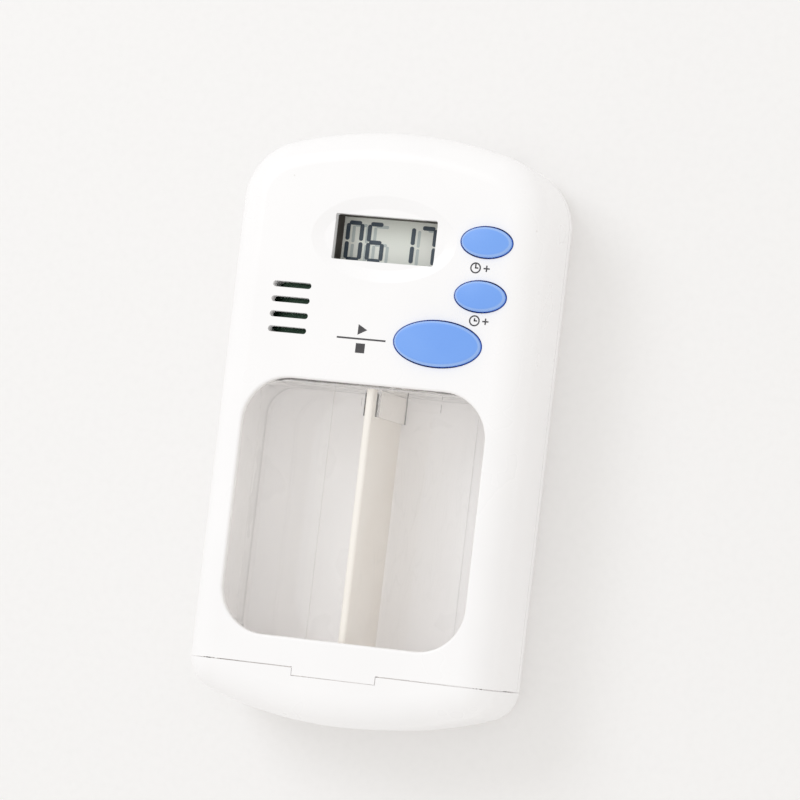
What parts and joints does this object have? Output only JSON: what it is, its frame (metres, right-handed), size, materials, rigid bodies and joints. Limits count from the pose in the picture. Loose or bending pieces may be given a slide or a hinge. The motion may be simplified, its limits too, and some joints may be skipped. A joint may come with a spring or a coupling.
{
  "type": "pill box with alarm",
  "caption": "Pocket pill box with a pull-out two-compartment drawer under a clear window, and an alarm clock with a display, oval buttons and speaker slots above it.",
  "frame": {"origin": "middle of the flat back, halfway between the drawer end and the display end", "axes": "+X to the right across the front, +Y towards the display end, +Z out of the front face"},
  "size_m": [0.045, 0.084, 0.0199],
  "materials": {
    "case_white": "satin moulded white",
    "drawer_clear": "clear, polished",
    "pane_clear": "clear, polished",
    "divider_white": "satin",
    "button_blue": "satin",
    "display": "grey-green liquid crystal behind clear glass",
    "frame_black": "moulded black",
    "board_green": "solder mask over glass fibre",
    "chip_black": "cast resin",
    "rubber_grey": "striped silicone",
    "sheet_steel": "nickel plated",
    "screw_steel": "zinc plated",
    "buzzer_brass": "rolled",
    "buzzer_ceramic": "silvered",
    "lead_red": "insulation",
    "switch_black": "moulded"
  },
  "bodies": {
    "housing": {"front_shell": "case_white", "back_shell": "case_white", "window_pane": "pane_clear", "lcd_glass": "display", "lcd_frame": "frame_black", "zebra_strip": "rubber_grey", "circuit_board": "board_green", "clock_chip": "chip_black", "crystal_can": "sheet_steel", "buzzer_plate": "buzzer_brass", "buzzer_ceramic": "buzzer_ceramic", "buzzer_leads": "lead_red", "minute_switch": "switch_black", "hour_switch": "switch_black", "start_stop_switch": "switch_black", "case_screws": "screw_steel", "board_screws": "screw_steel", "button_cell_left": "sheet_steel", "button_cell_right": "sheet_steel", "cell_contact_left": "sheet_steel", "cell_contact_right": "sheet_steel"},
    "drawer": {"drawer_tray": "drawer_clear", "drawer_divider": "divider_white", "end_cap": "case_white"},
    "minute_key": {"minute_button": "button_blue", "minute_plunger": "switch_black"},
    "hour_key": {"hour_button": "button_blue", "hour_plunger": "switch_black"},
    "start_stop_key": {"start_stop_button": "button_blue", "start_stop_plunger": "switch_black"},
    "battery_cover": {"battery_door": "case_white", "cell_bridge": "sheet_steel"}
  },
  "joints": [
    {"name": "drawer_slide", "type": "slide", "parent": "housing", "child": "drawer", "axis": [0, -1, 0], "range_m": [0, 0.035]},
    {"name": "minute_press", "type": "slide", "parent": "housing", "child": "minute_key", "axis": [0, 0, -1], "range_m": [0, 0.0004], "stiffness_N_per_m": 1000, "springref_m": -0.0004},
    {"name": "hour_press", "type": "slide", "parent": "housing", "child": "hour_key", "axis": [0, 0, -1], "range_m": [0, 0.0004], "stiffness_N_per_m": 1000, "springref_m": -0.0004},
    {"name": "start_stop_press", "type": "slide", "parent": "housing", "child": "start_stop_key", "axis": [0, 0, -1], "range_m": [0, 0.0004], "stiffness_N_per_m": 1000, "springref_m": -0.0004},
    {"name": "battery_door_slide", "type": "slide", "parent": "housing", "child": "battery_cover", "axis": [0, 1, 0], "range_m": [0, 0.014]}
  ]
}
